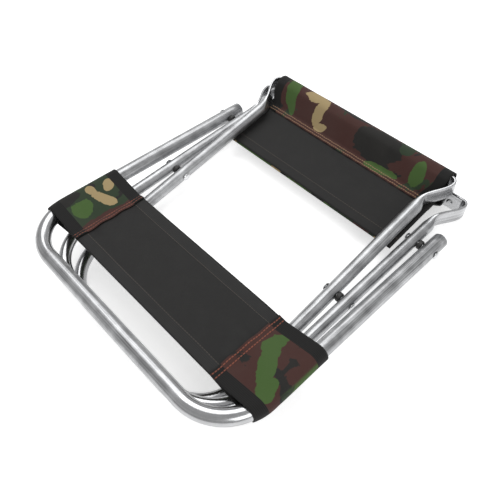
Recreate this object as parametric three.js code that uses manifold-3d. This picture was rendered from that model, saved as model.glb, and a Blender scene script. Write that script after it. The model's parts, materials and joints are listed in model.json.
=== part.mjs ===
// A small folding camp chair with a backrest, modelled folded flat as it is carried.
//
// Three tube frames are nested in each other. The front leg frame is the innermost one and carries
// the front seat bar, the rear leg frame lies round it and carries the rear seat bar, and the back
// frame lies round both. The two leg frames cross at the leg pivots like scissors. The back frame
// turns on the rear leg frame near the seat. A cloth seat hangs between the seat bars, and a cloth
// back is sleeved over the sides of the back frame.
//
// Millimetres. X runs across the chair, Y from the feet to the seat bars, Z up from the ground.
// While it is built the chair lies in the rear leg frame's own plane, with the leg pivots at Y = 0.
import * as THREE from 'three';
import { mergeVertices } from 'three/addons/utils/BufferGeometryUtils.js';
import Module from 'manifold-3d';

const wasm = await Module();
wasm.setup();

// ---- Driving dimensions ----

const FRONT_TUBE = 14;         // diameter of the front leg frame's tube
const REAR_TUBE = 13;          // diameter of the rear leg frame's tube
const BACK_TUBE = 16;          // diameter of the back frame's tube
const WALL = 1;                // wall of all three tubes
const FRONT_HALF_WIDTH = 114;  // from the middle of the chair to the front leg tube's axis
const PIVOT_GAP = 5;           // between two neighbouring tubes, filled by a spacer

const FRONT_FOOT = 174;        // from the leg pivots to the front leg frame's foot rail
const REAR_FOOT = 172;         // from the leg pivots to the rear leg frame's foot rail
const BACK_LENGTH = 281;       // from the back pivots to the back frame's top rail
const BACK_TAIL = 20;          // from the back pivots to the cut ends of the back tube
const BACK_PIVOT = 104;        // from the leg pivots to the back pivots
const FRONT_BEND = 50;         // bend radius at the feet of the front leg frame
const REAR_BEND = 52;
const BACK_BEND = 50;

const SEAT_BAR = 176;          // from the leg pivots to both seat bars
const CRUSH_START = 128;       // where the round leg tube starts to be pressed flat
const CRUSH_LENGTH = 16;
const FLARE = 15;              // how far the flat leg ends spread outwards
const STRAP_HEIGHT = 19;       // of the flattened tube
const STRAP_THICK = 3;
const STRAP_BEND = 6;          // bend radius where the strap turns inwards to the seat bar
const TAB_LENGTH = 24;         // of the turned-in strap, past its bend
const BAR_TUBE = 13;           // diameter of a seat bar between its flat ends
const BAR_END_FLAT = 26;       // length of a seat bar's flat end
const BAR_MORPH = 14;          // length over which a seat bar goes from flat to round

const PLUG_STEM = 12;          // length of an end plug inside the back tube
const PLUG_DOME = 3;           // height of its domed cap

const RIVET = 5;               // diameter of the pivot rivets
const RIVET_HEAD = 9;
const RIVET_HEAD_HEIGHT = 2;
const SPACER = 10;             // outer diameter of a pivot spacer
const BAR_RIVET = 4;
const BAR_RIVET_HEAD = 7;
const BAR_RIVET_HEAD_HEIGHT = 1.4;

const CLOTH = 0.9;             // thickness of the doubled, coated cloth
const SEAT_HALF_WIDTH = 122.5; // half the width of the seat cloth
const SEAT_HALF_LENGTH = 96;   // from a seat bar to the fold across the middle of the seat
const SEAT_FOLD = 22;          // length of the cloth next to that fold, which bends as it opens
const SEAT_HEM = 29;           // from a seat bar to the hem's free edge
const HEM_SEAM = 8;            // width of the sewn strip along a hem's free edge
const BINDING = 15;            // width of the tape round the cloth's cut edges
const BACK_CLOTH_START = 165;  // from the back pivots to the lower edge of the back cloth
const BACK_CLOTH_HEIGHT = 85;
const BACK_HEM = 49;           // from the back tube's axis to its hem's free edge
const BACK_HEM_LIFT = 11;      // how far the hem's free edge lies above the tube's underside

const TOUCH = 0.3;             // gap between two pieces that touch
const HOLE_PLAY = 0.3;         // between a rivet and its hole
const SLEEVE_PLAY = 0.6;       // between a seat sleeve and the flat ends it wraps
const BACK_SLEEVE_PLAY = 1.9;  // between a back sleeve and its tube, which starts to bend inside it
const CLOTH_GAP = 0.5;         // between the two halves of the folded seat
const TUBE_OVER_CLOTH = 1;     // between the front leg tube and the seat cloth under it
const BACK_OVER_LEG = 0.6;     // between the back cloth and the rear leg tube under it

const SIDES = 16;              // of a tube's section
const BEND_STEPS = 9;          // in a quarter turn of a tube
const STRAP_CORNER_STEPS = 5;
const ARC_SEGMENTS = 6;        // in a cloth loop's arcs
const LATHE_SEGMENTS = 16;

// ---- Sizes that follow from them ----

const frontRadius = FRONT_TUBE / 2;
const rearRadius = REAR_TUBE / 2;
const backRadius = BACK_TUBE / 2;
const rearHalfWidth = FRONT_HALF_WIDTH + frontRadius + PIVOT_GAP + rearRadius;
const backHalfWidth = rearHalfWidth + rearRadius + PIVOT_GAP + backRadius;

// A seat bar's flat end lies against the turned-in tab, and a cloth sleeve turns round the two.
const tabOffset = (STRAP_THICK + TOUCH) / 2;
const seatLoopInner = Math.hypot(STRAP_HEIGHT / 2, tabOffset + STRAP_THICK / 2) + SLEEVE_PLAY;
const seatLoopOuter = seatLoopInner + CLOTH;
const backLoopInner = backRadius + BACK_SLEEVE_PLAY;
const backLoopOuter = backLoopInner + CLOTH;

// Folded, the two seat hems lie on each other and the seat cloth passes under the front leg tubes.
// That sets the angle of the cloth to each leg frame, and so the angle between the leg frames.
const clothToFrontLeg = Math.asin(
  (seatLoopInner - frontRadius - TUBE_OVER_CLOTH) / SEAT_HALF_LENGTH);
const clothAngle = Math.asin(
  (2 * seatLoopOuter + CLOTH_GAP) / SEAT_BAR - Math.sin(clothToFrontLeg));
const legAngle = clothAngle + clothToFrontLeg;

// Folded, the back frame's hem lies on the rear leg tubes, at the lower edge of the back cloth.
const backHemAngle = Math.asin(BACK_HEM_LIFT / BACK_HEM);
const hemOverLeg = backLoopOuter - (backHalfWidth - rearHalfWidth) * Math.tan(backHemAngle);
const backAngle = Math.atan((rearRadius + BACK_OVER_LEG + hemOverLeg) / BACK_CLOTH_START);

// The folded chair stands on the front leg frame's foot rail and on the rear seat hem.
const railToBarY = SEAT_BAR + FRONT_FOOT * Math.cos(legAngle);
const railToBarZ = FRONT_FOOT * Math.sin(legAngle);
const restTilt = Math.atan2(railToBarZ, railToBarY)
  - Math.asin((seatLoopOuter - frontRadius) / Math.hypot(railToBarY, railToBarZ));

// ---- Materials ----

const tubeSteel = () => new THREE.MeshStandardMaterial({ color: 0xb9bbbc, roughness: 0.32, metalness: 1 });
const rivetSteel = () => new THREE.MeshStandardMaterial({ color: 0xc9cacb, roughness: 0.25, metalness: 1 });
const spacerPlastic = () => new THREE.MeshStandardMaterial({ color: 0x1b1b1b, roughness: 0.6, metalness: 0 });
const camoCloth = () => new THREE.MeshStandardMaterial({ color: 0x39431f, roughness: 0.85, metalness: 0 });
const blackCloth = () => new THREE.MeshStandardMaterial({ color: 0x1e1e1d, roughness: 0.7, metalness: 0 });
const bindingTape = () => new THREE.MeshStandardMaterial({ color: 0x131313, roughness: 0.8, metalness: 0 });

// ---- Solids ----

function toManifold(geometry) {
  const bare = geometry.clone();
  bare.deleteAttribute('normal');
  bare.deleteAttribute('uv');
  const merged = mergeVertices(bare, 1e-4);
  return new wasm.Manifold(new wasm.Mesh({
    numProp: 3,
    vertProperties: new Float32Array(merged.attributes.position.array),
    triVerts: new Uint32Array(merged.index.array),
  }));
}

function toGeometry(manifold) {
  const mesh = manifold.getMesh();
  const geometry = new THREE.BufferGeometry();
  geometry.setAttribute('position', new THREE.BufferAttribute(new Float32Array(mesh.vertProperties), 3));
  geometry.setIndex(new THREE.BufferAttribute(new Uint32Array(mesh.triVerts), 1));
  geometry.computeVertexNormals();
  return geometry;
}

// A closed body swept through stations in the XY plane. A station has a centre, and the section's
// half width in the plane and half height along Z. The section is an ellipse at squareness 1 and
// comes nearer to a rectangle as squareness falls.
function sweptBody(stations) {
  const soften = (value, squareness) => Math.sign(value) * Math.abs(value) ** squareness;
  const positions = [];
  stations.forEach((station, i) => {
    const before = stations[Math.max(i - 1, 0)];
    const after = stations[Math.min(i + 1, stations.length - 1)];
    const heading = new THREE.Vector2(after.x - before.x, after.y - before.y).normalize();
    for (let side = 0; side < SIDES; side++) {
      const turn = 2 * Math.PI * (side + 0.5) / SIDES;
      const across = station.halfWidth * soften(Math.cos(turn), station.squareness);
      const up = station.halfHeight * soften(Math.sin(turn), station.squareness);
      positions.push(station.x + heading.y * across, station.y - heading.x * across, up);
    }
  });
  const indices = [];
  for (let ring = 0; ring < stations.length - 1; ring++) {
    for (let side = 0; side < SIDES; side++) {
      const next = (side + 1) % SIDES;
      const a = ring * SIDES + side;
      const b = ring * SIDES + next;
      indices.push(a, a + SIDES, b, b, a + SIDES, b + SIDES);
    }
  }
  const last = (stations.length - 1) * SIDES;
  for (let side = 1; side < SIDES - 1; side++) {
    indices.push(0, side, side + 1);
    indices.push(last, last + side + 1, last + side);
  }
  const geometry = new THREE.BufferGeometry();
  geometry.setAttribute('position', new THREE.BufferAttribute(new Float32Array(positions), 3));
  geometry.setIndex(indices);
  geometry.computeVertexNormals();
  return geometry;
}

// A rod along an axis, for a hole.
function rod(radius, length, axis, centre) {
  const geometry = new THREE.CylinderGeometry(radius, radius, length, LATHE_SEGMENTS);
  if (axis === 'x') geometry.rotateZ(Math.PI / 2);
  geometry.translate(...centre);
  return toManifold(geometry);
}

function smooth(t) {
  const clamped = Math.min(Math.max(t, 0), 1);
  return clamped * clamped * (3 - 2 * clamped);
}

const blend = (from, to, share) => from + (to - from) * share;

// ---- Tube frames ----

// The right half of a U frame, from the middle of its cross rail up its leg to legTop.
function uStations(halfWidth, foot, bend, legTop, radius) {
  const round = { halfWidth: radius, halfHeight: radius, squareness: 1 };
  const stations = [{ x: 0, y: -foot, ...round }];
  for (let step = 0; step <= BEND_STEPS; step++) {
    const turn = Math.PI / 2 * step / BEND_STEPS;
    stations.push({
      x: halfWidth - bend + bend * Math.sin(turn),
      y: -foot + bend - bend * Math.cos(turn),
      ...round,
    });
  }
  stations.push({ x: halfWidth, y: legTop, ...round });
  return stations;
}

// The flat end of a leg: the tube is pressed into an upright strap, which spreads outwards, and
// then turns inwards into a tab that carries the seat bar.
function strapStations(halfWidth, radius) {
  const tabY = SEAT_BAR + tabOffset;
  const cornerY = tabY - STRAP_BEND;
  const strapX = halfWidth + FLARE;
  const stations = [];
  const flareSteps = 8;
  for (let step = 1; step <= flareSteps; step++) {
    const y = blend(CRUSH_START, cornerY, step / flareSteps);
    const pressed = smooth((y - CRUSH_START) / CRUSH_LENGTH);
    const spread = smooth((y - CRUSH_START - CRUSH_LENGTH / 2) / (cornerY - CRUSH_START - CRUSH_LENGTH / 2));
    stations.push({
      x: halfWidth + FLARE * spread,
      y,
      halfWidth: blend(radius, STRAP_THICK / 2, pressed),
      halfHeight: blend(radius, STRAP_HEIGHT / 2, pressed),
      squareness: blend(1, 0.35, pressed),
    });
  }
  const flat = { halfWidth: STRAP_THICK / 2, halfHeight: STRAP_HEIGHT / 2, squareness: 0.35 };
  for (let step = 1; step <= STRAP_CORNER_STEPS; step++) {
    const turn = Math.PI / 2 * step / STRAP_CORNER_STEPS;
    stations.push({
      x: strapX - STRAP_BEND + STRAP_BEND * Math.cos(turn),
      y: cornerY + STRAP_BEND * Math.sin(turn),
      ...flat,
    });
  }
  stations.push({ x: strapX - STRAP_BEND - TAB_LENGTH, y: tabY, ...flat });
  return stations;
}

const mirrored = (stations) => stations.map((station) => ({ ...station, x: -station.x }));
const wholeFrame = (rightHalf) => [...mirrored(rightHalf).reverse(), ...rightHalf.slice(1)];

function barRivetX(halfWidth) {
  return halfWidth + FLARE - STRAP_BEND - TAB_LENGTH / 2;
}

// A leg frame: a hollow U of tube with flat ends, drilled for its rivets.
function legFrame(halfWidth, foot, bend, radius, drilledAt) {
  const outer = [...uStations(halfWidth, foot, bend, CRUSH_START, radius), ...strapStations(halfWidth, radius)];
  const inner = uStations(halfWidth, foot, bend, CRUSH_START, radius - WALL);
  let body = toManifold(sweptBody(wholeFrame(outer)))
    .subtract(toManifold(sweptBody(wholeFrame(inner))));
  const span = 2 * (halfWidth + radius + FLARE);
  for (const y of drilledAt) {
    body = body.subtract(rod(RIVET / 2 + HOLE_PLAY, span, 'x', [0, y, 0]));
  }
  for (const side of [-1, 1]) {
    const centre = [side * barRivetX(halfWidth), SEAT_BAR + tabOffset, 0];
    body = body.subtract(rod(BAR_RIVET / 2 + HOLE_PLAY, 4 * STRAP_THICK, 'y', centre));
  }
  return toGeometry(body);
}

// The room that the front leg frame's flat ends need beside the hem round their seat bar, in the
// seat cloth's own place.
function strapRoom() {
  const grown = strapStations(FRONT_HALF_WIDTH, frontRadius).map((station) => ({
    ...station,
    halfWidth: station.halfWidth + TOUCH,
    halfHeight: station.halfHeight + TOUCH,
  })).filter((station) => station.x > SEAT_HALF_WIDTH - BINDING);
  const placed = new THREE.Matrix4().makeRotationX(clothToFrontLeg)
    .multiply(new THREE.Matrix4().makeTranslation(0, -SEAT_BAR, 0));
  const right = sweptBody(grown.slice(0, -STRAP_CORNER_STEPS)).applyMatrix4(placed);
  const left = sweptBody(mirrored(grown.slice(0, -STRAP_CORNER_STEPS)).reverse()).applyMatrix4(placed);
  return { right: toManifold(right), left: toManifold(left) };
}

// The back frame: a hollow U of tube with plain cut ends. Its own origin is on the back pivots.
function backFrame() {
  const outer = uStations(backHalfWidth, BACK_LENGTH, BACK_BEND, BACK_TAIL, backRadius);
  const inner = uStations(backHalfWidth, BACK_LENGTH, BACK_BEND, BACK_TAIL + WALL, backRadius - WALL);
  const body = toManifold(sweptBody(wholeFrame(outer)))
    .subtract(toManifold(sweptBody(wholeFrame(inner))))
    .subtract(rod(RIVET / 2 + HOLE_PLAY, 2 * (backHalfWidth + BACK_TUBE), 'x', [0, 0, 0]));
  return toGeometry(body);
}

// A seat bar: a tube pressed flat at its ends, where it is riveted to the leg frame's tabs.
function seatBar(halfWidth) {
  const end = halfWidth + FLARE - STRAP_BEND - TOUCH;
  const barRadius = BAR_TUBE / 2;
  const flat = { halfWidth: STRAP_THICK / 2, halfHeight: STRAP_HEIGHT / 2, squareness: 0.35 };
  // The round middle lies in line with the loop of the sleeve, the flat ends beside the tabs.
  const half = [{ x: 0, y: tabOffset, halfWidth: barRadius, halfHeight: barRadius, squareness: 1 }];
  const steps = 6;
  for (let step = 0; step <= steps; step++) {
    const pressed = smooth(step / steps);
    half.push({
      x: end - BAR_END_FLAT - BAR_MORPH * (1 - step / steps),
      y: blend(tabOffset, 0, pressed),
      halfWidth: blend(barRadius, STRAP_THICK / 2, pressed),
      halfHeight: blend(barRadius, STRAP_HEIGHT / 2, pressed),
      squareness: blend(1, 0.35, pressed),
    });
  }
  half.push({ x: end, y: 0, ...flat });
  let body = toManifold(sweptBody(wholeFrame(half)));
  for (const side of [-1, 1]) {
    body = body.subtract(rod(BAR_RIVET / 2 + HOLE_PLAY, 4 * STRAP_THICK, 'y', [side * barRivetX(halfWidth), 0, 0]));
  }
  return toGeometry(body);
}

// ---- Rivets and spacers ----

// A rivet along Y with a domed head at each end: grip is the length between the heads.
function rivetGeometry(diameter, headDiameter, headHeight, grip) {
  const domeSteps = 5;
  const profile = [];
  for (let step = 0; step <= domeSteps; step++) {
    const turn = Math.PI / 2 * step / domeSteps;
    profile.push(new THREE.Vector2(headDiameter / 2 * Math.sin(turn), -grip / 2 - headHeight * Math.cos(turn)));
  }
  profile[0].x = 0;
  profile.push(new THREE.Vector2(diameter / 2, -grip / 2));
  const upper = profile.map((point) => new THREE.Vector2(point.x, -point.y)).reverse();
  return new THREE.LatheGeometry([...profile, ...upper], LATHE_SEGMENTS);
}

function spacerGeometry() {
  const half = PIVOT_GAP / 2 - TOUCH;
  const bore = RIVET / 2 + HOLE_PLAY;
  const chamfer = 0.6;
  const profile = [
    [bore, -half],
    [SPACER / 2 - chamfer, -half],
    [SPACER / 2, -half + chamfer],
    [SPACER / 2, half - chamfer],
    [SPACER / 2 - chamfer, half],
    [bore, half],
    [bore, -half],
  ].map(([r, y]) => new THREE.Vector2(r, y));
  return new THREE.LatheGeometry(profile, LATHE_SEGMENTS);
}

// A round cap for a cut tube end, along Y, with its stem towards -Y.
function endPlugGeometry() {
  const stem = backRadius - WALL - TOUCH;
  const profile = [
    new THREE.Vector2(0, -PLUG_STEM),
    new THREE.Vector2(stem, -PLUG_STEM),
    new THREE.Vector2(stem, TOUCH),
    new THREE.Vector2(backRadius, TOUCH),
  ];
  const domeSteps = 4;
  for (let step = 1; step <= domeSteps; step++) {
    const turn = Math.PI / 2 * step / domeSteps;
    profile.push(new THREE.Vector2(backRadius * Math.cos(turn), TOUCH + PLUG_DOME * Math.sin(turn)));
  }
  profile[profile.length - 1].x = 0;
  return new THREE.LatheGeometry(profile, LATHE_SEGMENTS);
}

// ---- Cloth ----

// The edge-on outline of a hem that wraps a loop round the origin. The cloth leaves the loop at its
// underside and runs in -X to `hem`, where the hem's free edge is sewn on top of it.
function hemOutline(inner, hem) {
  const outer = inner + CLOTH;
  const seamX = -hem + HEM_SEAM;
  const tangent = (x, y, radius) => Math.atan2(y, x) - Math.acos(radius / Math.hypot(x, y)) + 2 * Math.PI;
  const shape = new THREE.Shape();
  shape.moveTo(-hem, -outer);
  shape.lineTo(0, -outer);
  shape.absarc(0, 0, outer, -Math.PI / 2, tangent(seamX, -inner + CLOTH, outer), false);
  shape.lineTo(seamX, -inner + CLOTH);
  shape.lineTo(-hem, -inner + CLOTH);
  shape.closePath();
  const opening = new THREE.Path();
  opening.moveTo(seamX, -inner);
  opening.lineTo(0, -inner);
  opening.absarc(0, 0, inner, -Math.PI / 2, tangent(seamX, -inner, inner), false);
  opening.closePath();
  shape.holes.push(opening);
  return shape;
}

function stripOutline(from, to, low, high) {
  const shape = new THREE.Shape();
  shape.moveTo(from, low);
  shape.lineTo(to, low);
  shape.lineTo(to, high);
  shape.lineTo(from, high);
  shape.closePath();
  return shape;
}

// An outline drawn in (Y, Z), extruded along X from one place to another.
function alongX(outline, from, to) {
  const geometry = new THREE.ExtrudeGeometry(outline, { depth: to - from, bevelEnabled: false, curveSegments: ARC_SEGMENTS });
  const basis = new THREE.Matrix4().makeBasis(
    new THREE.Vector3(0, 1, 0), new THREE.Vector3(0, 0, 1), new THREE.Vector3(1, 0, 0));
  geometry.applyMatrix4(basis);
  geometry.translate(from, 0, 0);
  return geometry;
}

// An outline drawn in (X, Z), extruded along Y from one place to another.
function alongY(outline, from, to) {
  const geometry = new THREE.ExtrudeGeometry(outline, { depth: to - from, bevelEnabled: false, curveSegments: ARC_SEGMENTS });
  geometry.rotateX(Math.PI / 2);
  geometry.translate(0, to, 0);
  return geometry;
}

// The same body seen in a mirror: the given axes change sign.
function reflected(geometry, x, y, z) {
  geometry.applyMatrix4(new THREE.Matrix4().makeScale(x, y, z));
  const result = mergeVertices(geometry);
  result.index.array.reverse();
  return result;
}

// ---- Assembly ----

const SIDE_NAMES = [['left', -1], ['right', 1]];

function addMesh(parent, name, geometry, material) {
  const mesh = new THREE.Mesh(geometry, material);
  mesh.name = name;
  parent.add(mesh);
  return mesh;
}

// Pivot rivets lie along X, through two tubes and the spacer between them.
function addPivot(parent, name, y, innerTube, outerTube) {
  const from = innerTube.halfWidth - innerTube.radius - TOUCH;
  const to = outerTube.halfWidth + outerTube.radius + TOUCH;
  const spacerX = innerTube.halfWidth + innerTube.radius + PIVOT_GAP / 2;
  for (const [sideName, side] of SIDE_NAMES) {
    const rivet = addMesh(parent, `${name}_rivet_${sideName}`,
      rivetGeometry(RIVET, RIVET_HEAD, RIVET_HEAD_HEIGHT, to - from), rivetSteel());
    rivet.rotation.z = Math.PI / 2;
    rivet.position.set(side * (from + to) / 2, y, 0);
    const spacer = addMesh(parent, `${name}_spacer_${sideName}`, spacerGeometry(), spacerPlastic());
    spacer.rotation.z = Math.PI / 2;
    spacer.position.set(side * spacerX, y, 0);
  }
}

function addSeatBar(parent, name, halfWidth) {
  const bar = addMesh(parent, `${name}_seat_bar`, seatBar(halfWidth), tubeSteel());
  bar.position.y = SEAT_BAR - tabOffset;
  const grip = 2 * STRAP_THICK + 3 * TOUCH;
  for (const [sideName, side] of SIDE_NAMES) {
    const rivet = addMesh(parent, `${name}_bar_rivet_${sideName}`,
      rivetGeometry(BAR_RIVET, BAR_RIVET_HEAD, BAR_RIVET_HEAD_HEIGHT, grip), rivetSteel());
    rivet.position.set(side * barRivetX(halfWidth), SEAT_BAR, 0);
  }
}

// Half of the seat cloth, hemmed round a seat bar and lying towards the leg pivots. The front half
// hangs below its bar when folded, and the rear half lies above its own.
function addSeatHalf(parent, name, isFront) {
  const half = new THREE.Group();
  const inside = SEAT_HALF_WIDTH - BINDING;
  const facing = (geometry) => (isFront ? geometry : reflected(geometry, 1, 1, -1));
  const loop = hemOutline(seatLoopInner, SEAT_HEM);
  const sleeve = alongX(loop, -inside + TOUCH, inside - TOUCH);
  addMesh(half, `seat_sleeve_${name}`, facing(sleeve), camoCloth());
  const foldStart = -SEAT_HALF_LENGTH + SEAT_FOLD;
  const cloth = stripOutline(foldStart, -SEAT_HEM - TOUCH, -seatLoopOuter, -seatLoopInner);
  addMesh(half, `seat_panel_${name}`, facing(alongX(cloth, -inside + TOUCH, inside - TOUCH)), blackCloth());
  const bent = stripOutline(-SEAT_HALF_LENGTH, foldStart - TOUCH, -seatLoopOuter, -seatLoopInner);
  addMesh(half, `seat_fold_${name}`, facing(alongX(bent, -SEAT_HALF_WIDTH, SEAT_HALF_WIDTH)), blackCloth());
  const edge = stripOutline(foldStart, -SEAT_HEM + HEM_SEAM / 2, -seatLoopOuter, -seatLoopInner);
  const room = strapRoom();
  for (const [sideName, side] of SIDE_NAMES) {
    const from = side > 0 ? inside : -SEAT_HALF_WIDTH;
    let body = toManifold(alongX(loop, from, from + BINDING))
      .add(toManifold(alongX(edge, from, from + BINDING)));
    if (isFront) body = body.subtract(room[sideName]);
    addMesh(half, `seat_binding_${name}_${sideName}`, facing(toGeometry(body)), bindingTape());
  }
  half.position.y = SEAT_BAR;
  parent.add(half);
  return half;
}

// The back cloth: a panel, a sleeve round each side tube, and tape round the upper and lower edges.
function addBackCloth(parent) {
  const rightHem = new THREE.Matrix4().makeRotationY(backHemAngle).setPosition(backHalfWidth, 0, 0);
  const loop = hemOutline(backLoopInner, BACK_HEM);
  const hem = (from, to, side) => {
    const geometry = alongY(loop, from, to).applyMatrix4(rightHem);
    return side > 0 ? geometry : reflected(geometry, -1, 1, 1);
  };
  const freeEdge = new THREE.Vector3(-BACK_HEM, 0, -backLoopOuter).applyMatrix4(rightHem);
  const upper = -BACK_CLOTH_START - BACK_CLOTH_HEIGHT;
  const lower = -BACK_CLOTH_START;
  const from = upper + BINDING + TOUCH;
  const to = lower - BINDING - TOUCH;
  const panelEnd = freeEdge.x - TOUCH;
  const panel = stripOutline(-panelEnd, panelEnd, freeEdge.z, freeEdge.z + CLOTH);
  addMesh(parent, 'back_panel', alongY(panel, from, to), blackCloth());
  for (const [sideName, side] of SIDE_NAMES) {
    addMesh(parent, `back_sleeve_${sideName}`, hem(from, to, side), camoCloth());
  }
  const joinedEnd = freeEdge.x + HEM_SEAM / 2;
  const joined = stripOutline(-joinedEnd, joinedEnd, freeEdge.z, freeEdge.z + CLOTH);
  for (const [edgeName, start] of [['upper', upper], ['lower', lower - BINDING]]) {
    const body = toManifold(alongY(joined, start, start + BINDING))
      .add(toManifold(hem(start, start + BINDING, 1)))
      .add(toManifold(hem(start, start + BINDING, -1)));
    addMesh(parent, `back_binding_${edgeName}`, toGeometry(body), bindingTape());
  }
}

const frontTube = { halfWidth: FRONT_HALF_WIDTH, radius: frontRadius };
const rearTube = { halfWidth: rearHalfWidth, radius: rearRadius };
const backTube = { halfWidth: backHalfWidth, radius: backRadius };

const chair = new THREE.Group();

const rearLegs = new THREE.Group();
addMesh(rearLegs, 'rear_leg_frame',
  legFrame(rearHalfWidth, REAR_FOOT, REAR_BEND, rearRadius, [0, BACK_PIVOT]), tubeSteel());
addSeatBar(rearLegs, 'rear', rearHalfWidth);
addPivot(rearLegs, 'leg_pivot', 0, frontTube, rearTube);
addPivot(rearLegs, 'back_pivot', BACK_PIVOT, rearTube, backTube);
addSeatHalf(rearLegs, 'rear', false).rotation.x = clothAngle;
chair.add(rearLegs);

const frontLegs = new THREE.Group();
addMesh(frontLegs, 'front_leg_frame',
  legFrame(FRONT_HALF_WIDTH, FRONT_FOOT, FRONT_BEND, frontRadius, [0]), tubeSteel());
addSeatBar(frontLegs, 'front', FRONT_HALF_WIDTH);
addSeatHalf(frontLegs, 'front', true).rotation.x = -clothToFrontLeg;
frontLegs.rotation.x = legAngle;
chair.add(frontLegs);

const back = new THREE.Group();
addMesh(back, 'back_frame', backFrame(), tubeSteel());
for (const [sideName, side] of SIDE_NAMES) {
  const plug = addMesh(back, `back_end_plug_${sideName}`, endPlugGeometry(), tubeSteel());
  plug.position.set(side * backHalfWidth, BACK_TAIL, 0);
}
addBackCloth(back);
back.position.y = BACK_PIVOT;
back.rotation.x = -backAngle;
chair.add(back);

// The chair is laid down on what it rests on, with the origin under its middle.
chair.rotation.x = -restTilt;
const group = new THREE.Group();
group.add(chair);
group.updateMatrixWorld(true);
const box = new THREE.Box3().setFromObject(group, true);
chair.position.set(-(box.min.x + box.max.x) / 2, -(box.min.y + box.max.y) / 2, -box.min.z);

export default group;
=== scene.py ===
import math

import bmesh
import bpy
from mathutils import Matrix, Vector, noise
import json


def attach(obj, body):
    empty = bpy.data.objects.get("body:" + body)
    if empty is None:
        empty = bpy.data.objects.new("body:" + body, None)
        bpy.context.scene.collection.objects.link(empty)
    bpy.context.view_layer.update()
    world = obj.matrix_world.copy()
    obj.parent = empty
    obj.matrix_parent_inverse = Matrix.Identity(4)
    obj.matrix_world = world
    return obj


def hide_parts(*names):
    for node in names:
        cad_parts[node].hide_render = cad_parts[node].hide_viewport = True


bl_info = {
    "name": "Folding camp chair",
    "version": (1, 0, 0),
    "blender": (4, 5, 0),
    "location": "View3D > Sidebar > Camp chair",
    "description": "Builds the folded camp chair's tubes, cloth and stage round its packed frame",
    "category": "Object",
}

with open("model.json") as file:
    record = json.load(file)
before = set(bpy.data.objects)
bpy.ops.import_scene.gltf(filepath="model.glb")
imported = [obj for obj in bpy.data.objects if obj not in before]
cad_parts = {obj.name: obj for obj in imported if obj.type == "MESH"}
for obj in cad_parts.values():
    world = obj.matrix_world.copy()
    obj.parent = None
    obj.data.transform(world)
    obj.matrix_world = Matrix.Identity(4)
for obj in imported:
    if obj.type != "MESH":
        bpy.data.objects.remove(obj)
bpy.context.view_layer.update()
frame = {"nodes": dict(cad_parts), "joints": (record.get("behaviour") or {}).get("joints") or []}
PIVOTS = {joint["name"]: Vector(joint["pos_m"]) for joint in frame["joints"]}

# ---- Sizes in metres, the same as the frame's ----

FRONT_TUBE, REAR_TUBE, BACK_TUBE = 0.014, 0.013, 0.016
FRONT_HALF, REAR_HALF, BACK_HALF = 0.114, 0.1325, 0.152
FRONT_FOOT, REAR_FOOT, BACK_LENGTH = 0.174, 0.172, 0.281
FRONT_BEND, REAR_BEND, BACK_BEND = 0.050, 0.052, 0.050
BACK_TAIL = 0.020
SEAT_BAR = 0.176
CRUSH_START, CRUSH_LENGTH = 0.128, 0.016
FLARE = 0.015
STRAP_HEIGHT, STRAP_THICK, STRAP_BEND = 0.019, 0.003, 0.006
TAB_LENGTH = 0.024
TAB_OFFSET = 0.00165
BACK_ANGLE = math.radians(4.6456)
SEAT_LOOP = 0.0112
SEAT_HALF_WIDTH = 0.1225
SEAT_HALF_LENGTH = 0.0968
BACK_CLOTH_START, BACK_CLOTH_HEIGHT = 0.165, 0.085
BACK_HEM, BACK_HEM_LIFT = 0.049, 0.011
SEAT_HEM, SEAM_DEPTH = 0.033, 0.009
SEAT_TAPE, SEAT_TAPE_HALF = 0.1165, 0.006
BACK_TAPE, BACK_TAPE_HALF = 0.036, 0.0065
TAPE_RIB, WEAVE = 0.0016, 0.0011

FRONT_BAR = PIVOTS["seat_front_turn"]
REAR_BAR = PIVOTS["seat_rear_turn"]


def slope(start, end):
    """The tilt about X of the line between two places."""
    return math.atan2(end.z - start.z, end.y - start.y)


REAR_TILT = slope(PIVOTS["leg_fold"], PIVOTS["back_fold"])
FRONT_TILT = slope(PIVOTS["leg_fold"], FRONT_BAR)
REAR_PLACE = Matrix.Translation(PIVOTS["leg_fold"]) @ Matrix.Rotation(REAR_TILT, 4, "X")
FRONT_PLACE = Matrix.Translation(PIVOTS["leg_fold"]) @ Matrix.Rotation(FRONT_TILT, 4, "X")
BACK_PLACE = Matrix.Translation(PIVOTS["back_fold"]) @ Matrix.Rotation(REAR_TILT - BACK_ANGLE, 4, "X")
CLOTH_TILT = FRONT_TILT - math.asin((SEAT_LOOP - 0.00055 - FRONT_TUBE / 2 - 0.001) / 0.096)
SEAT_FRONT_PLACE = Matrix.Translation(FRONT_BAR) @ Matrix.Rotation(CLOTH_TILT, 4, "X")
SEAT_REAR_PLACE = Matrix.Translation(REAR_BAR) @ Matrix.Rotation(CLOTH_TILT, 4, "X")


def smooth(value, start=0.0, end=1.0):
    """0 before start and 1 past end, with soft corners."""
    share = min(max((value - start) / (end - start), 0.0), 1.0)
    return share * share * (3 - 2 * share)


def mix(a, b, share):
    return a + (b - a) * share


# ---- Shader building ----


class Sock:
    """A node's output socket that takes Python arithmetic."""

    def __init__(self, finish, socket):
        self.finish = finish
        self.socket = socket

    def math(self, operation, *others):
        return self.finish.math(operation, self, *others)

    def __add__(self, other):
        return self.math("ADD", other)

    def __radd__(self, other):
        return self.finish.math("ADD", other, self)

    def __sub__(self, other):
        return self.math("SUBTRACT", other)

    def __rsub__(self, other):
        return self.finish.math("SUBTRACT", other, self)

    def __mul__(self, other):
        return self.math("MULTIPLY", other)

    def __rmul__(self, other):
        return self.finish.math("MULTIPLY", other, self)

    def __truediv__(self, other):
        return self.math("DIVIDE", other)

    def __rtruediv__(self, other):
        return self.finish.math("DIVIDE", other, self)


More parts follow.
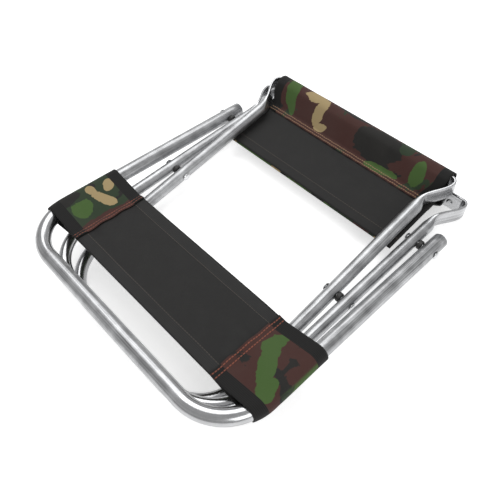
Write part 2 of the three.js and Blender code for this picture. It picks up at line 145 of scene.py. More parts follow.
class Finish:
    """A material whose nodes are made one call at a time."""

    def __init__(self, name):
        self.material = bpy.data.materials.new(name)
        self.material.use_nodes = True
        self.tree = self.material.node_tree
        self.tree.nodes.clear()
        self.output = self.tree.nodes.new("ShaderNodeOutputMaterial")

    def node(self, kind, settings=None, **inputs):
        made = self.tree.nodes.new(kind)
        for key, value in (settings or {}).items():
            setattr(made, key, value)
        for key, value in inputs.items():
            self.feed(made.inputs[key.replace("_", " ")], value)
        return made

    def feed(self, socket, value):
        if isinstance(value, Sock):
            self.tree.links.new(value.socket, socket)
        else:
            socket.default_value = value

    def math(self, operation, *values):
        made = self.tree.nodes.new("ShaderNodeMath")
        made.operation = operation
        for socket, value in zip(made.inputs, values):
            self.feed(socket, value)
        return Sock(self, made.outputs[0])

    def out(self, made, name=0):
        return Sock(self, made.outputs[name])

    def uv(self):
        """The two lengths along the piece's surface, in metres."""
        place = self.node("ShaderNodeUVMap", {"uv_map": "lay"})
        parts = self.node("ShaderNodeSeparateXYZ", Vector=self.out(place))
        return self.out(parts, "X"), self.out(parts, "Y")

    def vector(self, x, y, z=0.0):
        return self.out(self.node("ShaderNodeCombineXYZ", X=x, Y=y, Z=z))

    def object_place(self):
        return self.out(self.node("ShaderNodeTexCoord"), "Object")

    def noise(self, vector, scale, detail=3.0, roughness=0.5, distortion=0.0):
        made = self.node(
            "ShaderNodeTexNoise",
            Vector=vector,
            Scale=scale,
            Detail=detail,
            Roughness=roughness,
            Distortion=distortion,
        )
        return self.out(made, "Fac")

    def band(self, value, centre, half, soft):
        """1 within half of centre, falling to 0 over soft."""
        away = (value - centre).math("ABSOLUTE")
        return self.ramp(away, half + soft, half)

    def ramp(self, value, zero_at, one_at):
        made = self.node(
            "ShaderNodeMapRange",
            {"interpolation_type": "SMOOTHSTEP"},
            Value=value,
            From_Min=zero_at if zero_at < one_at else one_at,
            From_Max=one_at if zero_at < one_at else zero_at,
            To_Min=0.0 if zero_at < one_at else 1.0,
            To_Max=1.0 if zero_at < one_at else 0.0,
        )
        return self.out(made)

    def colour(self, share, first, second):
        made = self.tree.nodes.new("ShaderNodeMix")
        made.data_type = "RGBA"
        self.feed(made.inputs[0], share)
        self.feed(made.inputs[6], first if isinstance(first, Sock) else (*first, 1.0))
        self.feed(made.inputs[7], second if isinstance(second, Sock) else (*second, 1.0))
        return Sock(self, made.outputs[2])

    def finish_with(self, colour, roughness, metallic=0.0, height=None, bump=0.3, reach=0.0005, **fixed):
        shader = self.tree.nodes.new("ShaderNodeBsdfPrincipled")
        self.feed(shader.inputs["Base Color"], colour if isinstance(colour, Sock) else (*colour, 1.0))
        self.feed(shader.inputs["Roughness"], roughness)
        self.feed(shader.inputs["Metallic"], metallic)
        for key, value in fixed.items():
            shader.inputs[key.replace("_", " ")].default_value = value
        if height is not None:
            made = self.node("ShaderNodeBump", Strength=bump, Distance=reach, Height=height)
            self.feed(shader.inputs["Normal"], self.out(made))
        self.tree.links.new(shader.outputs[0], self.output.inputs["Surface"])
        return self.material


def tube_finish():
    """Bright drawn tube: fine streaky grain along the straights, whose dark lows are painted dark
    reflections, polished where it was bent.
    """
    f = Finish("bright_tube")
    along, around = f.uv()
    grain_and_dark_reflections = f.noise(f.vector(along * 9, around * 900), 1.0, 4.0, 0.6)
    patches = f.noise(f.vector(along * 60, around * 70), 1.0, 3.0, 0.55)
    mottle = f.noise(f.object_place(), 900.0, 2.0)
    polish = f.out(f.node("ShaderNodeAttribute", {"attribute_name": "polish"}), "Fac")
    # The dark end of this tone is painted reflection: it stands in for dark surroundings mirrored in the
    # tube, laid over the real streaky grain.
    tone_with_painted_reflections = f.ramp(grain_and_dark_reflections * 0.65 + patches * 0.35, 0.30, 0.70)
    colour = f.colour(tone_with_painted_reflections, (0.17, 0.17, 0.175), (0.60, 0.61, 0.62))
    colour = f.colour(polish * 0.55, colour, (0.47, 0.47, 0.48))
    roughness = 0.27 + grain_and_dark_reflections * 0.16 + patches * 0.10 - polish * 0.19
    return f.finish_with(colour, roughness, 0.96, grain_and_dark_reflections * 0.7 + mottle * 0.3, 0.25, 0.0002)


def rivet_finish():
    f = Finish("bright_rivet")
    grain = f.noise(f.object_place(), 700.0, 3.0)
    colour = f.colour(grain, (0.50, 0.50, 0.51), (0.76, 0.77, 0.78))
    return f.finish_with(colour, 0.16 + grain * 0.2, 0.98, grain, 0.2, 0.0001)


def plastic_finish():
    f = Finish("dark_spacer")
    grain = f.noise(f.object_place(), 1200.0, 3.0)
    colour = f.colour(grain, (0.012, 0.012, 0.012), (0.035, 0.034, 0.033))
    return f.finish_with(colour, 0.42 + grain * 0.2, 0.0, grain, 0.3, 0.0001)


def weave_height(f, across, along):
    """The height of a plain weave's threads."""
    turn = 2 * math.pi / WEAVE
    first = (across * turn).math("SINE")
    second = (along * turn).math("SINE")
    return first * second


def stitches(f, line, run, lines, pitch=0.0032, width=0.00042):
    """Rows of short stitches at the given places across `line`, running along `run`."""
    dash = f.ramp(((run / pitch).math("FRACT") - 0.5).math("ABSOLUTE"), 0.40, 0.32)
    total = None
    for place in lines:
        row = f.band(line, place, width, 0.00018)
        total = row if total is None else total.math("MAXIMUM", row)
    return total * dash


def patch(f, across, along, centre, size, turn, wobble):
    """A soft-edged blob of one dye, wandering with the noise `wobble`."""
    c, s = math.cos(turn), math.sin(turn)
    dx = across - centre[0]
    dy = along - centre[1]
    x = (dx * c + dy * s) / size[0]
    y = (dy * c - dx * s) / size[1]
    away = (x * x + y * y).math("SQRT") + (wobble - 0.5) * 1.1
    return f.ramp(away, 1.03, 0.97)


BROWN = (0.052, 0.017, 0.014)
GREEN = (0.050, 0.105, 0.022)
DARK_GREEN = (0.018, 0.035, 0.016)
TAN = (0.36, 0.27, 0.135)
BLACK = (0.010, 0.010, 0.010)
THREAD_TAN = (0.33, 0.20, 0.12)
THREAD_RED = (0.26, 0.085, 0.055)


def scattered_print(f, across, along, colour, where):
    """Covers the cloth beyond its hems with wandering patches of the four dyes."""
    for dye, offset, scale, edge in (
        (GREEN, 21.0, 17.0, 0.50),
        (DARK_GREEN, 31.0, 21.0, 0.56),
        (TAN, 43.0, 19.0, 0.60),
        (BLACK, 57.0, 23.0, 0.58),
    ):
        field = f.noise(f.vector(across + offset, along * 1.5), scale, 3.5, 0.55, 0.7)
        colour = f.colour(f.ramp(field, edge, edge + 0.008) * where, colour, dye)
    return colour


def ribbed_tape(f, across, mask, colour, height, shades, lift):
    """Lays ribbed black tape over the cloth where `mask` is 1."""
    ribs = (across * (2 * math.pi / TAPE_RIB)).math("SINE")
    ribbon = f.colour(f.ramp(ribs, -1, 1) * 0.6, *shades)
    return f.colour(mask, colour, ribbon), height * (1 - mask) + mask * (ribs * 0.2 + lift)


def sewn_cloth(f, across, along, colour, tape, rows, thread):
    """Gives printed cloth its weave, its tape and its rows of stitches."""
    weave = weave_height(f, across, along)
    fade = f.noise(f.vector(across, along), 26.0, 3.0)
    lift = f.ramp(fade, 0.30, 0.75) * 0.03 + f.ramp(weave, -1.0, 1.0) * 0.07
    colour = f.colour(lift, colour, (0.26, 0.24, 0.21))
    shades = (0.009, 0.009, 0.009), (0.022, 0.021, 0.020)
    colour, height = ribbed_tape(f, across, tape, colour, weave * 0.25, shades, 0.9)
    colour = f.colour(rows * 0.9, colour, thread)
    height = height + rows * 1.2
    return f.finish_with(
        colour, 0.78, 0.0, height, 0.55, 0.0004,
        Sheen_Weight=0.05, Sheen_Roughness=0.5, Specular_IOR_Level=0.2,
    )


def seat_camo(name, patches):
    """The seat cloth's print. `across` runs along the hem and `along` round it from its free edge."""
    f = Finish(name)
    across, along = f.uv()
    wobble = f.noise(f.vector(across, along), 55.0, 4.0, 0.6, 0.4)
    drift = f.noise(f.vector(across + 3.0, along), 34.0, 3.0, 0.55, 0.6)
    spots = f.noise(f.vector(across + 7.0, along), 42.0, 3.0, 0.5, 0.5)
    colour = f.colour(f.ramp(drift, 0.60, 0.62), BROWN, DARK_GREEN)
    colour = f.colour(f.ramp(spots, 0.64, 0.66), colour, BLACK)
    for dye, centre, size, turn in patches:
        colour = f.colour(patch(f, across, along, centre, size, turn, wobble), colour, dye)
    colour = scattered_print(f, across, along, colour, f.ramp(along, 0.058, 0.062))
    tape = f.band(across.math("ABSOLUTE"), SEAT_TAPE, SEAT_TAPE_HALF, 0.0004)
    rows = stitches(f, along, across, [0.0022, 0.0060])
    return sewn_cloth(f, across, along, colour, tape, rows, THREAD_TAN)


def black_finish(name, tape, tape_half, seams):
    """Coated reverse of the cloth: a fine weave that shines a little through its coating."""
    f = Finish(name)
    across, along = f.uv()
    flat = f.vector(across, along)
    weave = weave_height(f, across, along)
    rubbed = f.noise(flat, 38.0, 5.0, 0.6)
    specks = f.ramp(f.noise(flat, 1500.0, 2.0, 0.5), 0.68, 0.76)
    colour = f.colour(f.ramp(rubbed, 0.35, 0.75), (0.0075, 0.0072, 0.0070), (0.0140, 0.0136, 0.0130))
    colour = f.colour(f.ramp(weave, -1, 1) * 0.35, colour, (0.019, 0.018, 0.017))
    colour = f.colour(specks * 0.25, colour, (0.09, 0.09, 0.085))
    mask = f.band(across.math("ABSOLUTE"), tape, tape_half, 0.0004)
    shades = (0.008, 0.008, 0.008), (0.020, 0.019, 0.018)
    colour, height = ribbed_tape(f, across, mask, colour, weave * 0.35 + rubbed * 0.6, shades, 1.0)
    for axis, place in seams:
        value, other = (across, along) if axis == "across" else (along, across)
        rows = stitches(f, value, other, [place], 0.0030, 0.00028)
        colour = f.colour(rows * 0.55, colour, (0.10, 0.085, 0.07))
        height = height + rows * 1.0
    roughness = 0.50 + rubbed * 0.16
    return f.finish_with(
        colour, roughness, 0.0, height, 0.5, 0.0004,
        Sheen_Weight=0.02, Sheen_Roughness=0.45, Specular_IOR_Level=0.28,
    )


# ---- Mesh building ----


def grid_mesh(name, rows, lay, closed=False, polish=None):
    """A mesh over rows of points, with the cloth lengths `lay` kept as its UV map."""
    bm = bmesh.new()
    layer = bm.loops.layers.uv.new("lay")
    made = [[bm.verts.new(point) for point in row] for row in rows]
    count = len(rows[0])
    spans = count if closed else count - 1
    for r in range(len(rows) - 1):
        for c in range(spans):
            d = (c + 1) % count
            corners = [(r, c), (r, d), (r + 1, d), (r + 1, c)]
            face = bm.faces.new([made[i][j] for i, j in corners])
            face.smooth = True
            for loop, (i, j) in zip(face.loops, corners):
                u, v = lay(i, j)
                if closed and c == count - 1 and j == 0:
                    u, v = lay(i, count)
                loop[layer].uv = (u, v)
    if closed:
        for ring in (made[0], made[-1]):
            bm.faces.new(ring)
    bmesh.ops.recalc_face_normals(bm, faces=bm.faces)
    mesh = bpy.data.meshes.new(name)
    bm.to_mesh(mesh)
    bm.free()
    if polish is not None:
        attribute = mesh.attributes.new("polish", "FLOAT", "POINT")
        for i, row in enumerate(rows):
            for j in range(count):
                attribute.data[i * count + j].value = polish[i]
    obj = bpy.data.objects.new(name, mesh)
    bpy.context.scene.collection.objects.link(obj)
    return obj


def tube_mesh(name, stations, place, sides=40):
    """A swept tube. A station is (x, y, half width, half height, squareness, polish)."""
    rows = []
    lengths = [0.0]
    for i, station in enumerate(stations):
        before = stations[max(i - 1, 0)]
        after = stations[min(i + 1, len(stations) - 1)]
        heading = Vector((after[0] - before[0], after[1] - before[1])).normalized()
        if i:
            lengths.append(lengths[-1] + math.dist(station[:2], before[:2]))
        row = []
        for side in range(sides):
            turn = 2 * math.pi * (side + 0.5) / sides
            c, s = math.cos(turn), math.sin(turn)
            across = station[2] * math.copysign(abs(c) ** station[4], c)
            up = station[3] * math.copysign(abs(s) ** station[4], s)
            row.append(place @ Vector((station[0] + heading.y * across, station[1] - heading.x * across, up)))
        rows.append(row)
    girth = 2 * math.pi * max(station[3] for station in stations)

    def lay(i, j):
        return lengths[i], girth * j / sides

    return grid_mesh(name, rows, lay, closed=True, polish=[station[5] for station in stations])


def u_stations(half, foot, bend, top, radius):
    """The right half of a U of tube, from the middle of its rail up its leg."""
    stations = [(0.0, -foot, radius, radius, 1.0, 0.1)]
    for step in range(1, 6):
        stations.append(((half - bend) * step / 6, -foot, radius, radius, 1.0, 0.1 + 0.3 * step / 6))
    steps = 20
    for step in range(steps + 1):
        turn = math.pi / 2 * step / steps
        bright = 1.0 if 0 < step < steps else 0.5
        x = half - bend + bend * math.sin(turn)
        y = -foot + bend - bend * math.cos(turn)
        stations.append((x, y, radius, radius, 1.0, bright))
    base = -foot + bend
    steps = 24
    for step in range(1, steps + 1):
        share = step / steps
        stations.append((half, mix(base, top, share), radius, radius, 1.0, 0.4 * max(0.0, 1 - share * 8)))
    return stations


def strap_stations(half, radius):
    """The pressed end of a leg: an upright strap that spreads and then turns in to the seat bar."""
    tab_y = SEAT_BAR + TAB_OFFSET
    corner_y = tab_y - STRAP_BEND
    stations = []
    steps = 24
    for step in range(1, steps + 1):
        y = mix(CRUSH_START, corner_y, step / steps)
        pressed = smooth(y, CRUSH_START, CRUSH_START + CRUSH_LENGTH)
        spread = smooth(y, CRUSH_START + CRUSH_LENGTH / 2, corner_y)
        stations.append(
            (
                half + FLARE * spread,
                y,
                mix(radius, STRAP_THICK / 2, pressed),
                mix(radius, STRAP_HEIGHT / 2, pressed),
                mix(1.0, 0.35, pressed),
                0.7 * pressed,
            )
        )
    flat = (STRAP_THICK / 2, STRAP_HEIGHT / 2, 0.35, 0.8)
    strap_x = half + FLARE
    for step in range(1, 9):
        turn = math.pi / 2 * step / 8
        x = strap_x - STRAP_BEND + STRAP_BEND * math.cos(turn)
        stations.append((x, corner_y + STRAP_BEND * math.sin(turn), *flat))
    stations.append((strap_x - STRAP_BEND - TAB_LENGTH, tab_y, *flat))
    return stations


def whole_frame(right):
    left = [(-station[0], *station[1:]) for station in reversed(right)]
    return left + right[1:]


def arc_steps(start, end, count):
    return [mix(start, end, i / count) for i in range(count + 1)]


def hem_path(radius, hem, sewn, length, middle=0.0):
    """The cloth's path in its own (out, up) plane, from the hem's free edge, over the top of the
    loop, round it, and back under it for `length`. `middle` shifts the loop along its own plane."""
    gap = 0.0011
    seam = -hem + sewn
    points = []
    for i in range(6):
        points.append((mix(-hem, seam, i / 5), -radius + gap))
    reach = math.hypot(seam - middle, -radius + gap)
    lean = math.atan2(-radius + gap, seam - middle) + 2 * math.pi - math.acos(min(radius / reach, 1.0))
    top = (middle + radius * math.cos(lean), radius * math.sin(lean))
    for i in range(1, 12):
        points.append((mix(seam, top[0], i / 12), mix(-radius + gap, top[1], i / 12)))
    for turn in arc_steps(lean, -math.pi / 2, 28):
        points.append((middle + radius * math.cos(turn), radius * math.sin(turn)))
    steps = 26
    for i in range(1, steps + 1):
        points.append((mix(middle, -length, i / steps), -radius))
    return points


def path_lengths(points):
    total = [0.0]
    for before, after in zip(points, points[1:]):
        total.append(total[-1] + math.dist(before, after))
    return total


def thicken(obj, inner_slot, thick=0.0007):
    """Gives a sheet its thickness and lets its inner face take the second material."""
    solid = obj.modifiers.new("thickness", "SOLIDIFY")
    solid.thickness = thick
    solid.offset = 0.0
    solid.use_rim = True
    solid.material_offset = inner_slot
    solid.material_offset_rim = 0
    bpy.context.view_layer.objects.active = obj
    obj.select_set(True)
    bpy.ops.object.modifier_apply(modifier=solid.name)
    obj.select_set(False)
    for face in obj.data.polygons:
        face.use_smooth = True


def face_out(obj, probe):
    """Turns the sheet so that its first material faces away from the hem's loop."""
    mesh = obj.data
    face = min(mesh.polygons, key=lambda polygon: (polygon.center - probe).length)
    if face.normal.dot(face.center - probe) < 0:
        mesh.flip_normals()


# ---- Settings ----


class TubeSettings(bpy.types.PropertyGroup):
    sides: bpy.props.IntProperty(
        name="Tube sides", description="Sides of a drawn tube's section", default=40, min=12, max=96
    )
    slack: bpy.props.FloatProperty(
        name="Cloth waviness",
        description="How far the cloth strays from flat",
        default=0.0011,
        min=0.0,
        max=0.004,
        unit="LENGTH",
    )


class StageSettings(bpy.types.PropertyGroup):
    floor_colour: bpy.props.FloatVectorProperty(
        name="Floor",
        description="Colour of the floor",
        default=(0.90, 0.90, 0.90),
        subtype="COLOR",
        min=0,
        max=1,
    )
    lamp_power: bpy.props.FloatProperty(
        name="Lamp", description="Power of the large soft lamp", default=10.5, min=0.0, unit="POWER"
    )


# ---- Operators ----


def leg_frame(name, node, body, half, foot, bend, tube, place, finish, sides):
    radius = tube / 2
    right = u_stations(half, foot, bend, CRUSH_START, radius) + strap_stations(half, radius)
    obj = tube_mesh(name, whole_frame(right), place, sides)
    obj.data.materials.append(finish)
    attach(obj, body)
    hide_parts(node)
    return obj


class CHAIR_OT_tubes(bpy.types.Operator):
    """Draws the three tube frames with smooth bends and pressed ends"""

    bl_idname = "chair.tubes"
    bl_label = "Tube frames"

    def execute(self, context):
        sides = context.scene.chair_tubes.sides
        finish = tube_finish()
        leg_frame("front_legs_tube", "front_leg_frame", "front_legs", FRONT_HALF, FRONT_FOOT, FRONT_BEND,
                  FRONT_TUBE, FRONT_PLACE, finish, sides)
        leg_frame("rear_legs_tube", "rear_leg_frame", "rear_legs", REAR_HALF, REAR_FOOT, REAR_BEND,
                  REAR_TUBE, REAR_PLACE, finish, sides)
        right = u_stations(BACK_HALF, BACK_LENGTH, BACK_BEND, BACK_TAIL, BACK_TUBE / 2)
        back = tube_mesh("back_tube", whole_frame(right), BACK_PLACE, sides)
        back.data.materials.append(finish)
        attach(back, "back")
        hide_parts("back_frame")
        return {"FINISHED"}


class CHAIR_OT_fittings(bpy.types.Operator):
    """Finishes the rivets, spacers, plugs and seat bars"""

    bl_idname = "chair.fittings"
    bl_label = "Rivets, spacers and bars"

    def execute(self, context):
        rivet, plastic = rivet_finish(), plastic_finish()
        for name, obj in frame["nodes"].items():
            if "spacer" in name:
                finish = plastic
            elif "rivet" in name or "plug" in name or "seat_bar" in name:
                finish = rivet
            else:
                continue
            obj.data.materials.clear()
            obj.data.materials.append(finish)
        return {"FINISHED"}


def seat_cloth(name, body, place, mirror, slack, finishes, nodes, is_front):
    """Half of the seat cloth, hemmed round its bar."""
    path = hem_path(SEAT_LOOP, SEAT_HEM, SEAM_DEPTH, SEAT_HALF_LENGTH)
    run = path_lengths(path)
    columns = 72
    rows = []
    for k, (out, up) in enumerate(path):
        row = []
        for c in range(columns + 1):
            share = -1 + 2 * c / columns
            half = SEAT_HALF_WIDTH
            top_layer = run[k] < SEAT_HEM + 0.004
            if top_layer and is_front:
                half -= 0.0078 * smooth(-out, 0.012, 0.026)
            x = share * half
            wave = noise.noise(Vector((x * 22, run[k] * 30, 5.0 + mirror))) * slack
            edge = smooth(abs(x), half - 0.012, half)
            dip = wave * (1 - 0.5 * edge)
            if not top_layer and -out > 0.040:
                dip *= 0.55
            lift = 0.4 * dip if top_layer else 0.0
            pull = 0.00035 * math.sin(x * 520 + 2.0 * noise.noise(Vector((x * 60, 1.0, 4.0))))
            pull *= smooth(-out, 0.010, 0.024) * (1.0 if top_layer else 0.0)
            hang = 0.0 if top_layer else abs(dip) * 0.5
            row.append(place @ Vector((x, out, mirror * (up + lift + pull - hang))))
        rows.append(row)
    width = 2 * SEAT_HALF_WIDTH

    def lay(i, j):
        return width * (j / columns - 0.5), run[i]

    obj = grid_mesh(name, rows, lay)
    face_out(obj, place @ Vector((0, 0, 0)))
    for finish in finishes:
        obj.data.materials.append(finish)
    thicken(obj, 1)
    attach(obj, body)
    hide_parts(*nodes)
    return obj


def seat_nodes(which):
    return [
        f"seat_sleeve_{which}",
        f"seat_panel_{which}",
        f"seat_fold_{which}",
        f"seat_binding_{which}_left",
        f"seat_binding_{which}_right",
    ]


class CHAIR_OT_seat(bpy.types.Operator):
    """Sews the seat cloth round the two seat bars"""

    bl_idname = "chair.seat"
    bl_label = "Seat cloth"

    def execute(self, context):
        slack = context.scene.chair_tubes.slack
        front_patches = [
            (GREEN, (-0.096, 0.034), (0.0085, 0.028), 0.25),
            (TAN, (-0.050, 0.030), (0.0075, 0.017), -0.2),
            (TAN, (-0.064, 0.043), (0.016, 0.0075), 0.1),
            (TAN, (-0.042, 0.013), (0.010, 0.005), 0.5),
            (BLACK, (0.036, 0.030), (0.032, 0.020), 0.15),
            (BLACK, (-0.010, 0.050), (0.024, 0.006), 0.0),
            (GREEN, (0.093, 0.024), (0.008, 0.016), 0.3),
            (GREEN, (0.055, 0.008), (0.024, 0.0050), 0.1),
            (DARK_GREEN, (0.066, 0.042), (0.008, 0.008), 0.3),
        ]
        camo = seat_camo("camo_seat_front", front_patches)
        black = black_finish("black_seat", SEAT_TAPE, SEAT_TAPE_HALF, [("along", 0.1615)])
        seat_cloth("seat_cloth_front", "seat_front", SEAT_FRONT_PLACE, 1, slack, [camo, black],
                   seat_nodes("front"), True)
        rear_patches = [
            (GREEN, (-0.060, 0.040), (0.024, 0.012), 0.4),
            (TAN, (0.020, 0.050), (0.020, 0.008), 0.2),
            (GREEN, (0.080, 0.090), (0.030, 0.014), -0.3),
            (TAN, (-0.030, 0.120), (0.026, 0.010), 0.5),
            (BLACK, (0.010, 0.090), (0.030, 0.010), -0.2),
        ]
        camo = seat_camo("camo_seat_rear", rear_patches)
        seat_cloth("seat_cloth_rear", "seat_rear", SEAT_REAR_PLACE, -1, slack, [camo, black],
                   seat_nodes("rear"), False)
        return {"FINISHED"}


def back_shift(y):
    """How far the back tube has moved inwards where it starts to bend."""
    past = -y - (BACK_LENGTH - BACK_BEND)
    return BACK_BEND - math.sqrt(max(BACK_BEND**2 - past**2, 0.0)) if past > 0 else 0.0


class CHAIR_OT_back(bpy.types.Operator):
    """Sews the back cloth over the sides of the back frame"""

    bl_idname = "chair.back"
    bl_label = "Back cloth"

    def execute(self, context):
        slack = context.scene.chair_tubes.slack
        radius = BACK_TUBE / 2 + 0.0014
        tilt = math.asin(BACK_HEM_LIFT / BACK_HEM)
        rows = []
        steps = 44
        runs = None
        for k in range(steps + 1):
            y = -BACK_CLOTH_START - BACK_CLOTH_HEIGHT * k / steps
            shift = back_shift(y)
            hem = hem_path(radius, BACK_HEM, SEAM_DEPTH, BACK_HEM - 0.003, -shift)
            turned = []
            for out, up in hem:
                x = out * math.cos(tilt) + up * math.sin(tilt)
                z = -out * math.sin(tilt) + up * math.cos(tilt)
                turned.append((BACK_HALF + x, z))
            inner = turned[-1]
            middle = [(mix(inner[0], -inner[0], i / 40), inner[1]) for i in range(1, 40)]
            left = [(-x, z) for x, z in reversed(turned)]
            section = turned + middle + left
            if runs is None:
                runs = path_lengths(section)
            edge = smooth(min(k, steps - k) / steps, 0.0, 0.16)
            row = []
            for j, (x, z) in enumerate(section):
                wave = noise.noise(Vector((x * 20, y * 26, 2.0))) * slack * 1.3
                sag = 0.0016 * math.cos(min(abs(x) / inner[0], 1.0) * math.pi / 2) * edge
                crease = 0.0007 * math.sin((y + 0.4 * x) * 260)
                crease *= smooth(abs(x), 0.085, 0.102) * (abs(x) < 0.108)
                row.append(BACK_PLACE @ Vector((x, y, z + wave * (0.3 + 0.7 * edge) * 0.8 - sag + crease)))
            rows.append(row)
        total = runs[-1]

        def lay(i, j):
            return BACK_CLOTH_HEIGHT * (i / steps - 0.5), runs[j] - total / 2

        obj = grid_mesh("back_cloth", rows, lay)
        face_out(obj, BACK_PLACE @ Vector((BACK_HALF, -0.2, 0)))
        obj.data.materials.append(back_camo(total))
        obj.data.materials.append(
            black_finish(
                "black_back", BACK_TAPE, BACK_TAPE_HALF, [("across", -0.0300), ("across", 0.0300)]
            )
        )
        thicken(obj, 1)
        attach(obj, "back")
        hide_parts("back_panel", "back_sleeve_left", "back_sleeve_right", "back_binding_upper",
                    "back_binding_lower")
        return {"FINISHED"}


def back_camo(total):
    """The back cloth's print. Here `across` runs up the back and `along` from hem to hem."""
    half = total / 2
    f = Finish("camo_back")
    across, along = f.uv()
    flat = f.vector(across, along)
    wobble = f.noise(flat, 60.0, 4.0, 0.6, 0.4)
    side = f.ramp(along, -0.01, 0.01)
    drift = f.noise(f.vector(across + 11.0, along), 36.0, 3.0, 0.55, 0.6)
    base = f.colour(side, BROWN, DARK_GREEN)
    colour = f.colour(f.ramp(drift, 0.59, 0.61), base, BLACK)
    for dye, centre, size, turn in [
        (GREEN, (0.002, -half + 0.030), (0.030, 0.0085), 0.55),
        (GREEN, (-0.018, -half + 0.018), (0.014, 0.0070), -0.4),
        (GREEN, (0.020, -half + 0.048), (0.014, 0.0070), 0.3),
        (TAN, (-0.010, half - 0.026), (0.0065, 0.0150), 0.5),
        (TAN, (-0.024, half - 0.040), (0.0060, 0.0085), -0.6),
        (TAN, (-0.004, half - 0.045), (0.0050, 0.0065), 0.2),
        (BROWN, (0.0, half - 0.004), (0.050, 0.0085), 0.0),
        (GREEN, (0.016, half - 0.030), (0.012, 0.011), 0.3),
        (BLACK, (0.022, half - 0.048), (0.014, 0.008), 0.1),
    ]:
        colour = f.colour(patch(f, across, along, centre, size, turn, wobble), colour, dye)
    edge = half - along.math("ABSOLUTE")
    colour = scattered_print(f, across, along, colour, f.ramp(edge, 0.058, 0.062))
    tape = f.band(across.math("ABSOLUTE"), BACK_TAPE, BACK_TAPE_HALF, 0.0004)
    rows = stitches(f, edge, across, [0.0024, 0.0068])
    return sewn_cloth(f, across, along, colour, tape, rows, THREAD_RED)


CAMERA_PLACE = (0.2724, -0.2296, 0.4446)
CAMERA_AIM = (0.02152, -0.02113, 0.0)
CAMERA_ROLL = math.radians(-4.97)
CAMERA_LENS = 38.5


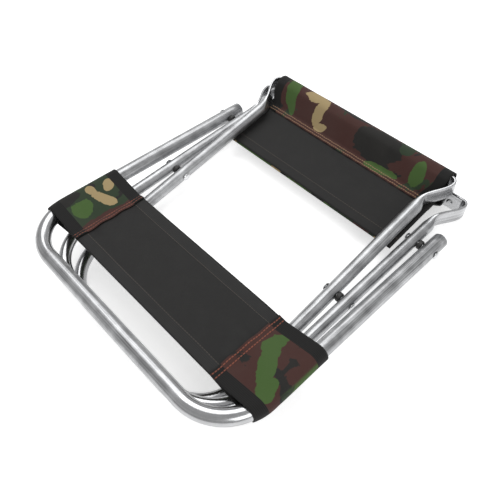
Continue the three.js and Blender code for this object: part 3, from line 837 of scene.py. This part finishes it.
class CHAIR_OT_stage(bpy.types.Operator):
    """Sets the pale floor, the soft lamps and the camera"""

    bl_idname = "chair.stage"
    bl_label = "Stage"

    def execute(self, context):
        scene = context.scene
        settings = scene.chair_stage
        scene.view_settings.view_transform = "Standard"
        self.floor(settings)
        self.world(scene)
        self.lamp("main_lamp", (-0.55, 0.50, 1.25), 1.1, settings.lamp_power)
        self.lamp("side_lamp", (1.15, -0.35, 0.75), 0.7, settings.lamp_power * 0.42)
        camera = bpy.data.cameras.new("camera")
        camera.lens = CAMERA_LENS
        camera.sensor_width = 36.0
        obj = bpy.data.objects.new("camera", camera)
        scene.collection.objects.link(obj)
        place = REAR_PLACE @ Vector(CAMERA_PLACE)
        aim = REAR_PLACE @ Vector(CAMERA_AIM)
        spin = REAR_PLACE.to_3x3()
        forward = (aim - place).normalized()
        flat_forward = spin.inverted() @ forward
        right = flat_forward.cross(Vector((0, 0, 1))).normalized()
        up = right.cross(flat_forward)
        turned_right = math.cos(CAMERA_ROLL) * right + math.sin(CAMERA_ROLL) * up
        turned_up = -math.sin(CAMERA_ROLL) * right + math.cos(CAMERA_ROLL) * up
        axes = Matrix((spin @ turned_right, spin @ turned_up, -forward)).transposed().to_4x4()
        obj.matrix_world = Matrix.Translation(place) @ axes
        camera.clip_start = 0.01
        scene.camera = obj
        return {"FINISHED"}

    def floor(self, settings):
        f = Finish("floor")
        rays = f.node("ShaderNodeLightPath")
        seen = f.out(rays, "Is Camera Ray")
        mirrored = f.out(rays, "Is Glossy Ray")
        through = f.out(rays, "Is Transmission Ray")
        shader = f.node("ShaderNodeBsdfDiffuse", Color=(*settings.floor_colour, 1.0))
        glow = f.node("ShaderNodeEmission", Color=(1.0, 1.0, 1.0, 1.0), Strength=0.55)
        both = f.node("ShaderNodeAddShader")
        f.tree.links.new(shader.outputs[0], both.inputs[0])
        f.tree.links.new(glow.outputs[0], both.inputs[1])
        mixed = f.node("ShaderNodeMixShader")
        share = seen.math("MAXIMUM", mirrored.math("MAXIMUM", through))
        f.feed(mixed.inputs[0], share)
        f.tree.links.new(shader.outputs[0], mixed.inputs[1])
        f.tree.links.new(both.outputs[0], mixed.inputs[2])
        f.tree.links.new(mixed.outputs[0], f.output.inputs["Surface"])
        bm = bmesh.new()
        bmesh.ops.create_grid(bm, x_segments=4, y_segments=4, size=6.0)
        mesh = bpy.data.meshes.new("floor")
        bm.to_mesh(mesh)
        bm.free()
        floor = bpy.data.objects.new("floor", mesh)
        floor.location.z = -0.0005
        bpy.context.scene.collection.objects.link(floor)
        mesh.materials.append(f.material)

    def world(self, scene):
        world = bpy.data.worlds.new("studio")
        world.use_nodes = True
        tree = world.node_tree
        background = tree.nodes["Background"]
        background.inputs["Color"].default_value = (1.0, 1.0, 1.0, 1.0)
        rays = tree.nodes.new("ShaderNodeLightPath")
        brighter = tree.nodes.new("ShaderNodeMath")
        brighter.operation = "MULTIPLY_ADD"
        tree.links.new(rays.outputs["Is Camera Ray"], brighter.inputs[0])
        brighter.inputs[1].default_value = 0.45
        brighter.inputs[2].default_value = 0.55
        tree.links.new(brighter.outputs[0], background.inputs["Strength"])
        scene.world = world

    def lamp(self, name, place, size, power):
        data = bpy.data.lights.new(name, "AREA")
        data.size = size
        data.energy = power
        obj = bpy.data.objects.new(name, data)
        obj.location = place
        obj.rotation_euler = (-Vector(place)).to_track_quat("-Z", "Y").to_euler()
        bpy.context.scene.collection.objects.link(obj)


class CHAIR_PT_panel(bpy.types.Panel):
    """Lists the chair's building steps"""

    bl_idname = "CHAIR_PT_panel"
    bl_label = "Folding camp chair"
    bl_space_type = "VIEW_3D"
    bl_region_type = "UI"
    bl_category = "Camp chair"

    def draw(self, context):
        layout = self.layout
        for group in (context.scene.chair_tubes, context.scene.chair_stage):
            for name in group.bl_rna.properties.keys():
                if name not in ("rna_type", "name"):
                    layout.prop(group, name)
        for operator in STEPS:
            layout.operator(operator.bl_idname)


STEPS = (CHAIR_OT_tubes, CHAIR_OT_fittings, CHAIR_OT_seat, CHAIR_OT_back, CHAIR_OT_stage)
CLASSES = (TubeSettings, StageSettings, *STEPS, CHAIR_PT_panel)


def register():
    for cls in CLASSES:
        bpy.utils.register_class(cls)
    bpy.types.Scene.chair_tubes = bpy.props.PointerProperty(type=TubeSettings)
    bpy.types.Scene.chair_stage = bpy.props.PointerProperty(type=StageSettings)


def unregister():
    del bpy.types.Scene.chair_stage
    del bpy.types.Scene.chair_tubes
    for cls in reversed(CLASSES):
        bpy.utils.unregister_class(cls)


def main():
    register()
    bpy.ops.chair.stage()
    bpy.ops.chair.tubes()
    bpy.ops.chair.fittings()
    bpy.ops.chair.seat()
    bpy.ops.chair.back()


if __name__ == "__main__":
    main()
